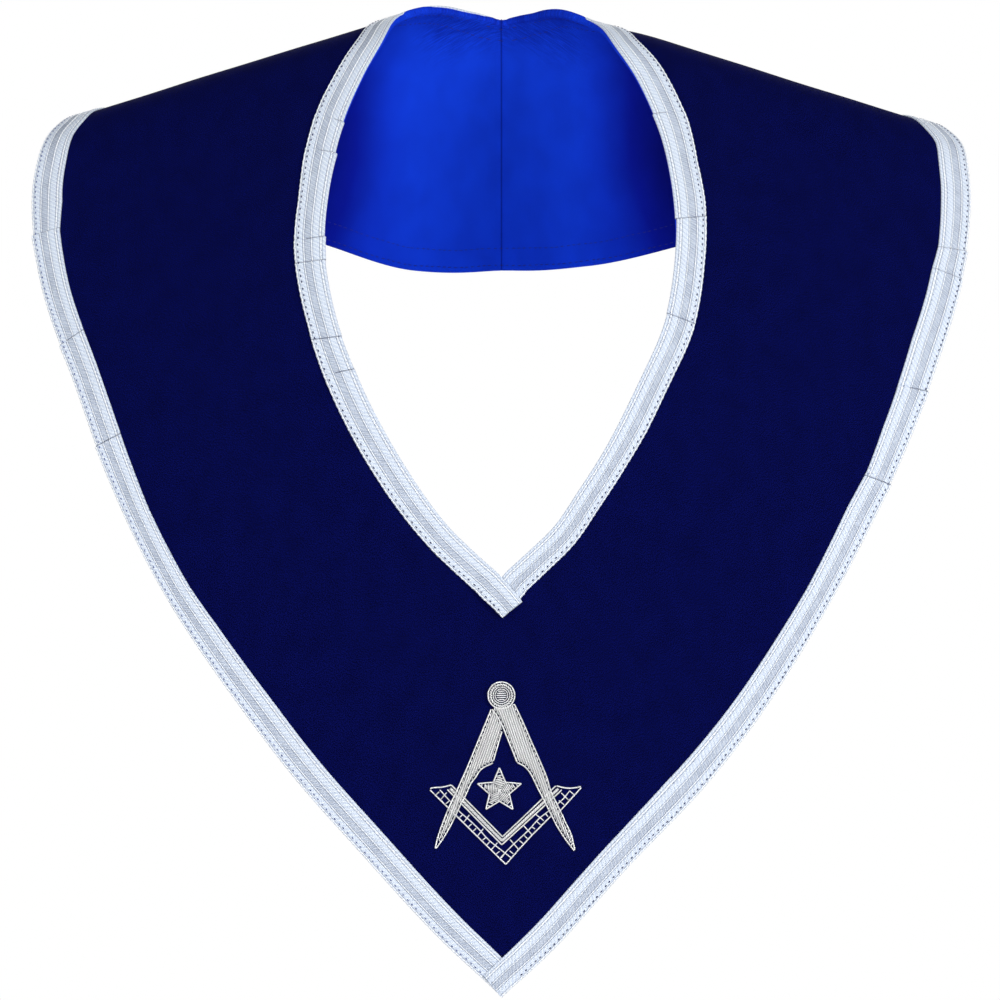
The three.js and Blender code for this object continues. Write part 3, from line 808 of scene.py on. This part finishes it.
# Each pleat: the side it is on, its row, then its rise, slant, jut and the span of its painted shade line
rim_pleats = [
    pleat(RIM, -1, 232, 0.7, 0.1, 0.9), pleat(RIM, -1, 345, 0.5, 0.2, 0.6, (0.3, 1.0)),
    pleat(RIM, -1, 447, 0.5, 0.1, 0.5), pleat(RIM, 1, 248, 0.6, 0.1, 0.7),
    pleat(RIM, 1, 277, 0.6, -0.1, 0.4), pleat(RIM, 1, 392, 0.4, 0.2, 0.6, (0.0, 0.6)),
    pleat(RIM, 1, 485, 0.5, 0.1, 0.6),
]
neck_pleats = [
    pleat(NECK, -1, 117, 0.5, 0.1, 0.8, (0.0, 0.3)), pleat(NECK, -1, 150, 0.6, 0.1, 1.1, (0.0, 0.5)),
    pleat(NECK, -1, 236, 0.5, -0.1, 0.6, (0.0, 0.6)), pleat(NECK, -1, 260, 0.7, 0.0, -0.4),
    pleat(NECK, -1, 337, 0.5, 0.2, -0.3), pleat(NECK, -1, 370, 0.4, 0.2, 0.2, (0.0, 0.6)),
    pleat(NECK, 1, 108, 0.4, 0.1, 0.6, (0.0, 0.4)), pleat(NECK, 1, 218, 0.6, -0.1, -0.6),
    pleat(NECK, 1, 314, 0.6, 0.1, -0.3),
]

# The neck braid's left end lies on its right end, and the rim braid's right end lies on its left end
OVER = 1.35
NECK_END_PAST = 10.6
neck_end = NECK.length
rim_end = RIM.length
NECK_LIFT = (OVER, 1.0, 13.0, 1)
RIM_LIFT = (OVER, rim_end - RIM_BRAID - 1.0, 12.0, -1)
# The upper end at the rim is cut at a slant
rim_pleats.append((rim_end - 0.6, 0.0, -0.16, -1, 0.0, (2.0, 3.0)))
neck_from, neck_to = -NECK_BRAID - 0.7, neck_end + NECK_END_PAST
neck_net = braid_strip(NECK, NECK_BRAID, neck_from, neck_to, False, neck_pleats, NECK_LIFT)
neck_braid = new_piece("neck_braid", *neck_net[:3], WHITE, "white_braid", neck_net[3])
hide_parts("braid_neck")
rim_net = braid_strip(RIM, RIM_BRAID, 1.0, rim_end, True, rim_pleats, RIM_LIFT)
rim_braid = new_piece("rim_braid", *rim_net[:3], WHITE, "white_braid", rim_net[3])
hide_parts("braid_rim")


# Kinds of stitch: height over the cloth, length, and radius of the thread
BRAID_STITCH = (1.05, 1.0, 0.31)
PALE_STITCH = (1.03, 1.0, 0.29)
FAINT_STITCH = (0.98, 0.8, 0.19)
LINING_STITCH = (LINING_LOW, 1.7, 0.20)


# A row of short stitches at a distance w in from an edge
def stitch_row(gathered, edge, w, kind, start, end, phase=0.0, up=1, pleats=(), stretch=0.0, lift=None):
    height, length, radius = kind
    share = w / (NECK_BRAID if edge is NECK else RIM_BRAID)
    for k, s in enumerate(np.arange(start, end, STITCH_PITCH)):
        middle = s + 0.25 * math.sin(1.9 * k + phase)
        drift = w * (1 + stretch * float(widening(edge, middle))) + 0.15 * math.sin(0.7 * k + phase)
        spots = middle + length * np.linspace(-0.5, 0.5, 5)
        x, v = edge.place(spots, drift + 0 * spots)
        sink = height - up * radius * 0.9 * np.linspace(-1, 1, 5) ** 2
        if pleats:
            sink = sink + pleat_height(spots, pleats).max()
            x, v = edge.place(spots, drift - float(pleat_jut(middle, share, pleats)) + 0 * spots)
        if lift is not None:
            sink = sink + end_rise(spots, lift)
        path = raised(x, v, sink)
        above = unit(path - raised(x, v, sink - 1.0)) * up
        gathered.wire(path, above, radius, sides=5)


braid_stitches = Gathered()
neck_stitched = NECK_BRAID - 1.65
rim_middle = rim_end / 2
stitch_row(
    braid_stitches, RIM, 1.7, BRAID_STITCH, rim_middle, rim_end - 13.0, pleats=rim_pleats, lift=RIM_LIFT
)
stitch_row(
    braid_stitches, NECK, neck_stitched, BRAID_STITCH, -10.0, neck_end - 3.0, 0.5,
    pleats=neck_pleats, stretch=1 / NECK_BRAID, lift=NECK_LIFT
)
braid_stitches.piece("braid_stitches", BRAID_THREAD, "navy_cloth")
pale_stitches = Gathered()
stitch_row(pale_stitches, RIM, 1.8, PALE_STITCH, 15.0, rim_middle - 1.0, pleats=rim_pleats)
pale_stitches.piece("left_rim_stitches", PALE_THREAD, "navy_cloth")

# A fainter row near the other side, where the stitches of the back come through
faint_stitches = Gathered()
faint_rows = [(NECK, 2.0, 30.0, neck_pleats), (RIM, RIM_BRAID - 2.0, 60.0, rim_pleats)]
for edge, w, clear, pleats in faint_rows:
    stitch_row(faint_stitches, edge, w, FAINT_STITCH, clear, edge.length - clear, 1.5, pleats=pleats)
faint_stitches.piece("faint_stitches", FAINT_THREAD, "white_braid")

lining_stitches = Gathered()
lining_rows = [(RIM, 3.1, 0.0), (RIM, 11.8, 1.0), (NECK, 2.9, 2.0), (NECK, 11.6, 3.0)]
for edge, w, phase in lining_rows:
    stitch_row(lining_stitches, edge, w, LINING_STITCH, 16.0, edge.length - 16.0, phase, up=-1)
lining_stitches.piece("lining_stitches", LINING_THREAD, "blue_lining")

# The emblem: a is the distance right of the centre line and b the distance below its top
EMBLEM_TOP = -316.2


def front_length(x, z):
    near = np.zeros_like(x)
    far = np.full_like(x, FRONT_LENGTH)
    for _ in range(40):
        middle = (near + far) / 2
        above = crest_height(x) - along(FRONT_ARCS, middle)[1] > z
        near = np.where(above, middle, near)
        far = np.where(above, far, middle)
    return -(near + far) / 2


def emblem_spots(a, b, height):
    a, b = np.asarray(a, float), np.asarray(b, float)
    v = front_length(a, EMBLEM_TOP - b)
    low = raised(a, v, np.zeros_like(a))
    up = unit(raised(a, v, np.ones_like(a)) - low)
    return low + up * np.broadcast_to(height, a.shape)[..., None], up


SQUARE_MIDDLE = 1.8
SQUARE_CORNER = 83.1
SQUARE_SLOPE = 0.99


def square_depth(a, b):
    return (SQUARE_CORNER - SQUARE_SLOPE * np.abs(a - SQUARE_MIDDLE) - b) / math.hypot(1, SQUARE_SLOPE)


# The compass legs rise where they cross the square
def leg_lift(a, b):
    depth = square_depth(a, b)
    inside = np.minimum(depth, 9.6 - depth)
    share = np.clip((inside + 2.6) / 2.4, 0, 1)
    return share * share * (3 - 2 * share) * 0.9


def resampled(line, step=0.5):
    line = np.asarray(line, float)
    reach = reach_along(line)
    count = max(4, int(round(reach[-1] / step)) + 1)
    return sampled(np.linspace(0, reach[-1], count), reach, line)


def smooth(points, count=8):
    points = np.asarray(points, float)
    return spline(points, np.linspace(0, 1, count * (len(points) - 1) + 1))


def lay_wire(gathered, line, radius, height, lift=None, step=0.5):
    line = resampled(line, step)
    level = height + (lift(line[:, 0], line[:, 1]) if lift is not None else 0.0)
    path, up = emblem_spots(line[:, 0], line[:, 1], level + 0 * line[:, 0])
    gathered.wire(path, up, radius)


WIRE = 0.36
FILL = 0.295
FILL_PITCH = 0.76
FILL_INSET = 0.45


# Fills an outline with wires side by side that bow up over the padding
def fill_wires(gathered, outline, direction, low, rise, lift=None, joined=()):
    outline = np.asarray(outline, float)
    direction = unit(np.asarray(direction, float))
    normal = np.array([-direction[1], direction[0]])
    run, level = outline @ direction, outline @ normal
    first_spot = level.min() + FILL_PITCH * 0.6
    for count, spot in enumerate(np.arange(first_spot, level.max(), FILL_PITCH)):
        cuts = []
        short = 0.5 * (count % 2)
        for k in range(len(outline)):
            n = (k + 1) % len(outline)
            if (level[k] - spot) * (level[n] - spot) < 0:
                share = (spot - level[k]) / (level[n] - level[k])
                steep = abs(level[n] - level[k]) / math.hypot(level[n] - level[k], run[n] - run[k])
                room = 0.0 if k in joined else FILL_INSET / max(0.3, steep) + short
                cuts.append((run[k] + (run[n] - run[k]) * share, room))
        cuts.sort()
        for (start, first), (end, second) in zip(cuts[0::2], cuts[1::2]):
            start, end = start + first, end - second
            if end - start < 2.2 * FILL:
                continue
            run_spots = np.linspace(start, end, max(5, int((end - start) / 0.7)))
            line = run_spots[:, None] * direction + spot * normal
            bow = np.sin(np.linspace(0, math.pi, len(run_spots))) ** 0.6
            height = low + min(rise, 0.3 * (end - start)) * bow
            if lift is not None:
                height = height + lift(line[:, 0], line[:, 1])
            path, up = emblem_spots(line[:, 0], line[:, 1], height)
            gathered.wire(path, up, FILL)


LEFT_OUTER = [
    (-4.7, 12.9), (-16.1, 40.4), (-20.1, 49.4), (-24.2, 58.2), (-27.1, 65.5), (-29.2, 71.8), (-30.1, 75.9),
]
LEFT_INNER_TOP = [(-4.0, 13.2), (-0.2, 20.3), (0.1, 22.9), (-3.8, 36.4)]
LEFT_INNER = [
    (-3.9, 37.2), (-9.3, 40.1), (-11.8, 43.7), (-13.9, 46.5), (-16.4, 52.0), (-18.8, 56.4), (-20.9, 61.1),
    (-23.7, 66.6), (-26.6, 71.5), (-29.8, 76.0),
]
RIGHT_OUTER = [
    (5.7, 10.5), (8.9, 17.1), (13.6, 27.8), (17.0, 35.5), (20.5, 44.0), (22.5, 50.6), (25.3, 56.3),
    (28.7, 63.6), (31.3, 69.1), (33.2, 76.6),
]
RIGHT_INNER_TOP = [(-4.3, 12.9), (-2.2, 15.8), (0.6, 20.9), (2.6, 25.9), (4.7, 31.0), (7.0, 36.9)]
RIGHT_INNER = [
    (7.1, 37.1), (10.2, 38.7), (12.8, 41.5), (14.9, 45.4), (16.5, 48.8), (19.1, 53.8), (22.2, 60.0),
    (24.8, 65.2), (28.7, 71.4), (32.9, 76.9),
]
RIGHT_TOP = [(-4.4, 12.4), (-2.0, 11.6), (2.6, 11.2)]


# A leg: wires fill its outline, whose last few lines are open, and a wire lies along each edge
def build_leg(outline, open_lines, direction, low, rise, edges):
    leg = Gathered()
    joined = range(len(outline) - open_lines, len(outline))
    fill_wires(leg, outline, direction, low, rise, leg_lift, joined)
    for line, height in edges:
        lay_wire(leg, line, WIRE, height, leg_lift)
    return leg


outer, inner = smooth(LEFT_OUTER), smooth(LEFT_INNER)
outline = np.vstack([outer, inner[::-1], LEFT_INNER_TOP[::-1]])
edges = [(outer, 0.55), (LEFT_INNER_TOP[2:], 0.55), (inner, 0.55)]
left_leg = build_leg(outline, 3, (0.25, 0.97), 0.5, 0.75, edges)
left = left_leg.piece("left_leg_wires", SILVER, "silver_thread")
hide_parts("compass_leg_left")

outer, inner = smooth(RIGHT_OUTER), smooth(RIGHT_INNER)
outline = np.vstack([outer, inner[::-1], RIGHT_INNER_TOP[::-1], RIGHT_TOP])
edges = [(outer, 0.6), (RIGHT_INNER_TOP, 0.95), (inner, 0.6)]
right_leg = build_leg(outline, 4, (-0.24, 0.97), 0.6, 0.85, edges)
right = right_leg.piece("right_leg_wires", SILVER, "silver_thread")
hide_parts("compass_leg_right")


# The head: rings with slanting wires between them and level wires in the middle
HEAD_A, HEAD_B = -0.1, 6.6
HEAD_RINGS = [(6.03, WIRE, 1.3), (3.75, 0.25, 1.6), (2.85, 0.23, 1.65)]
SLANTING_WIRES = 26
SLANTING_WIRE = 0.32
LEVEL_WIRE = 0.28
LEVEL_PITCH = 0.93
LEVEL_REACH = 2.35


def round_head(radius, turn):
    return HEAD_A + radius * np.cos(turn), HEAD_B + radius * np.sin(turn)


head = Gathered()
for radius, wire, height in HEAD_RINGS:
    ring = np.stack(round_head(radius, np.linspace(0, 2 * math.pi, 60)), axis=1)
    lay_wire(head, ring, wire, height)
for k in range(SLANTING_WIRES):
    angle = 2 * math.pi * k / SLANTING_WIRES
    spots = np.linspace(0, 1, 6)
    a, b = round_head(5.3 - 0.95 * spots, angle + 0.30 * spots)
    path, up = emblem_spots(a, b, 1.35 + 0.3 * np.sin(math.pi * spots))
    head.wire(path, up, SLANTING_WIRE)
for level in np.arange(-2, 3) * LEVEL_PITCH:
    half = math.sqrt(LEVEL_REACH ** 2 - level ** 2)
    spots = np.linspace(-half, half, 7)
    bow = 0.3 * (1 - (spots / 2.5) ** 2)
    path, up = emblem_spots(HEAD_A + spots, HEAD_B + level + 0 * spots, 1.55 + bow)
    head.wire(path, up, LEVEL_WIRE)
head_piece = head.piece("head_wires", SILVER, "silver_thread")
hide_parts("compass_head")

# The padding under the head, in the navy of the cloth, which also stands in for the shade between the
# wires: radius, height, and radius of its spread
HEAD_PADDING = [(5.95, 0.1, 6), (5.9, 0.6, 5), (4.6, 0.95, 4), (2.5, 1.1, 3), (0.6, 1.15, 1)]
PAD_SIDES = 48
pad = Gathered()
pad_turn = np.linspace(0, 2 * math.pi, PAD_SIDES, endpoint=False)
pad_points, pad_spread = [], []
for radius, height, spread_radius in HEAD_PADDING:
    pad_points.append(emblem_spots(*round_head(radius, pad_turn), height)[0])
    pad_spread += [(spread_radius * math.cos(t), spread_radius * math.sin(t)) for t in pad_turn]
pad_faces = net_faces(len(HEAD_PADDING), PAD_SIDES, closed=True).tolist()
pad_faces.append(list(range(PAD_SIDES)))
pad_faces.append([len(pad_spread) - PAD_SIDES + k for k in range(PAD_SIDES)][::-1])
pad.add(np.vstack(pad_points), pad_faces, pad_spread)
pad.piece("head_padding_and_gap_shade", NAVY, "navy_cloth")

# The square: an outer line, a ladder line with ticks, and a corded strip between two lines
LADDER_WIRE = 0.30
LEFT_END = [(-32.4, 49.0), (-31.5, 48.5), (-27.0, 48.2), (-22.8, 47.2)]
RIGHT_END = [(24.8, 47.6), (29.2, 48.6), (33.0, 48.5), (35.9, 47.9)]
OUTER_LINE = [
    (-32.5, 49.4), (1.9, 83.1), (7.7, 76.4), (13.8, 69.8), (22.2, 61.4), (27.0, 58.4), (36.1, 48.4),
]
INNER_LINE = [(-22.8, 47.2), (0.4, 70.6), (24.6, 47.6)]
SECOND_LINE = [(-24.6, 49.2), (0.1, 74.2), (27.3, 49.4)]
CORD_LINE = [(-23.2, 48.8), (0.25, 72.4), (25.7, 48.9)]
LEFT_LADDER = [
    (-28.0, 49.4), (-23.2, 54.7), (-19.3, 59.0), (-13.9, 63.7), (-10.2, 67.3), (-6.1, 71.8), (-1.1, 75.9),
    (4.3, 80.1),
]
RIGHT_LADDER = [
    (31.0, 49.7), (27.7, 53.7), (20.9, 59.3), (17.0, 62.4), (11.5, 68.3), (5.6, 73.8), (1.7, 77.7),
    (-0.7, 80.3),
]
square = Gathered()
for line in (OUTER_LINE, INNER_LINE, SECOND_LINE):
    lay_wire(square, line, WIRE, 0.5)
for line in (LEFT_END, RIGHT_END):
    lay_wire(square, smooth(line, 4), WIRE, 0.55)
for line in (LEFT_LADDER, RIGHT_LADDER):
    lay_wire(square, smooth(line, 6), LADDER_WIRE, 0.42)


CORD_STRAND = 0.36
CORD_HEIGHT = 0.72
CORD_PITCH = 2.1


# Two strands laid round each other
def lay_cord(gathered, line):
    line = resampled(line, 0.16)
    forward = unit(line[-1] - line[0])
    for start in (0.0, math.pi):
        turn = 2 * math.pi * reach_along(line) / CORD_PITCH + start
        aside = CORD_STRAND * np.cos(turn)[:, None] * np.array([-forward[1], forward[0]])
        path, up = emblem_spots(*(line + aside).T, CORD_HEIGHT + CORD_STRAND * np.sin(turn))
        gathered.wire(path, up, CORD_STRAND)


for half in (CORD_LINE[:2], CORD_LINE[1:]):
    lay_cord(square, half)

# The ticks of the left arm: some are long, and each leans a little
LEFT_TICKS = 15
LONG_TICKS = (0, 2, 5, 8, 11, 13)
FIRST_TICK = 3.5
TICK_PITCH = 2.93
LONG_TICK = 4.4
SHORT_TICK = 2.2
TICK_WIRE = 0.28
for k in range(LEFT_TICKS):
    reach = FIRST_TICK + TICK_PITCH * k
    long = k in LONG_TICKS
    a = SQUARE_MIDDLE + 0.1 - reach * 0.712
    b = SQUARE_CORNER - reach * 0.702
    length = LONG_TICK if long else SHORT_TICK
    lean = 0.08 * math.sin(2.3 * k - 1)
    first = 0.15 if long else 0.35
    tick = [(a + t * (0.70 + lean), b - t * (0.71 - lean)) for t in (first, length / 2, length)]
    lay_wire(square, tick, TICK_WIRE, 0.5)
# The ticks of the right arm, each from its inner end to its outer end
RIGHT_TICKS = [
    (15.4, 60.4, 19.2, 63.4), (10.0, 65.6, 13.7, 69.6), (3.8, 71.9, 7.6, 76.2), (19.8, 60.1, 21.1, 61.6),
    (16.1, 63.8, 17.7, 65.3), (13.6, 66.0, 15.2, 67.1), (10.2, 70.0, 11.8, 71.6), (8.0, 72.3, 9.9, 73.8),
    (3.6, 76.9, 5.4, 78.4), (30.9, 50.0, 32.9, 51.6), (27.0, 50.8, 30.3, 54.0), (25.9, 54.2, 28.4, 56.2),
]
for near_a, near_b, far_a, far_b in RIGHT_TICKS:
    tick = [(near_a, near_b), ((near_a + far_a) / 2, (near_b + far_b) / 2), (far_a, far_b)]
    lay_wire(square, tick, TICK_WIRE, 0.5)
square_piece = square.piece("square_wires", SILVER, "silver_thread")
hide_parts("square")

# The star: wires across each of its five arms, and a line round it
star = Gathered()
STAR_A, STAR_B = -1.0, 49.8
STAR_OUTER, STAR_INNER = 10.4, 4.7


def star_spot(k):
    angle = math.pi * k / 5
    radius = STAR_OUTER if k % 2 == 0 else STAR_INNER
    return (STAR_A + radius * math.sin(angle), STAR_B - radius * math.cos(angle))


for arm in range(5):
    tip, before, after = star_spot(2 * arm), star_spot(2 * arm - 1), star_spot(2 * arm + 1)
    axis = np.array(tip) - (STAR_A, STAR_B)
    across = unit(np.array([-axis[1], axis[0]]) + 0.25 * axis)
    corners = [(STAR_A, STAR_B), before, tip, after]
    fill_wires(star, corners, across, 0.6, 1.0, joined=(0, 3))
outline = np.array([star_spot(k) for k in range(11)])
lay_wire(star, outline, WIRE, 0.6, step=0.4)
for level in (-0.55, 0.0, 0.55):
    middle_wire = [(STAR_A + reach, STAR_B + level) for reach in (-0.75, 0.0, 0.75)]
    lay_wire(star, middle_wire, FILL, 1.0, step=0.3)
star_piece = star.piece("star_wires", SILVER, "silver_thread")
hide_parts("star")


# The floor, and a white dome far round it that only the camera sees
def stage_piece(name, profile, material, count=64):
    turn = 2 * math.pi * np.arange(count) / count
    points = [(r * math.cos(t), r * math.sin(t), z) for r, z in profile for t in turn]
    faces = net_faces(len(profile), count, closed=True).tolist()
    mesh = bpy.data.meshes.new(name)
    mesh.from_pydata(points, [], faces)
    mesh.polygons.foreach_set("use_smooth", np.ones(len(mesh.polygons), dtype=bool))
    mesh.materials.append(material)
    made = bpy.data.objects.new(name, mesh)
    scene.collection.objects.link(made)
    return made


FLOOR_HEIGHT = -0.60
DOME_RADIUS = 7
stage_piece("floor", [(0.001, FLOOR_HEIGHT), (0.45, FLOOR_HEIGHT), (0.95, FLOOR_HEIGHT)], FLOOR)
dome_profile = []
for k in range(1, 32):
    angle = math.pi * k / 32 - math.pi / 2
    dome_profile.append((DOME_RADIUS * math.cos(angle), DOME_RADIUS * math.sin(angle)))
dome = stage_piece("backdrop", dome_profile, BACKDROP)
dome.visible_diffuse = False
dome.visible_glossy = False
dome.visible_transmission = False
dome.visible_shadow = False


# Light and camera
COLLAR_MIDDLE = (0.0, 0.0, -0.2)


def area_light(name, spot, size, energy):
    light = bpy.data.lights.new(name, "AREA")
    light.shape = "DISK"
    light.size = size
    light.energy = energy
    made = bpy.data.objects.new(name, light)
    made.location = spot
    direction = np.array(COLLAR_MIDDLE) - np.array(spot)
    yaw = math.atan2(direction[1], direction[0]) - math.pi / 2
    pitch = math.atan2(direction[2], math.hypot(direction[0], direction[1])) + math.pi / 2
    made.rotation_euler = (pitch, 0, yaw)
    scene.collection.objects.link(made)


area_light("right_box", (1.45, -1.5, 0.45), 1.0, 31.0)
area_light("left_box", (-1.45, -1.5, 0.45), 1.0, 17.0)
area_light("front_glow", (0.1, -2.3, 0.1), 1.0, 12.0)
area_light("back_glow", (0.0, 1.9, 0.6), 1.4, 20.0)

world = bpy.data.worlds.new("white_room")
world.use_nodes = True
world.node_tree.nodes["Background"].inputs["Color"].default_value = PLAIN
world.node_tree.nodes["Background"].inputs["Strength"].default_value = 0.20
scene.world = world
scene.view_settings.view_transform = "Standard"

camera_data = bpy.data.cameras.new("camera")
camera_data.lens = 150.0
camera_data.sensor_width = 36.0
camera = bpy.data.objects.new("camera", camera_data)
camera.location = (-0.00072, -2.0, VIEW_HEIGHT * MM)
camera.rotation_euler = (math.radians(90), 0, 0)
scene.collection.objects.link(camera)
scene.camera = camera
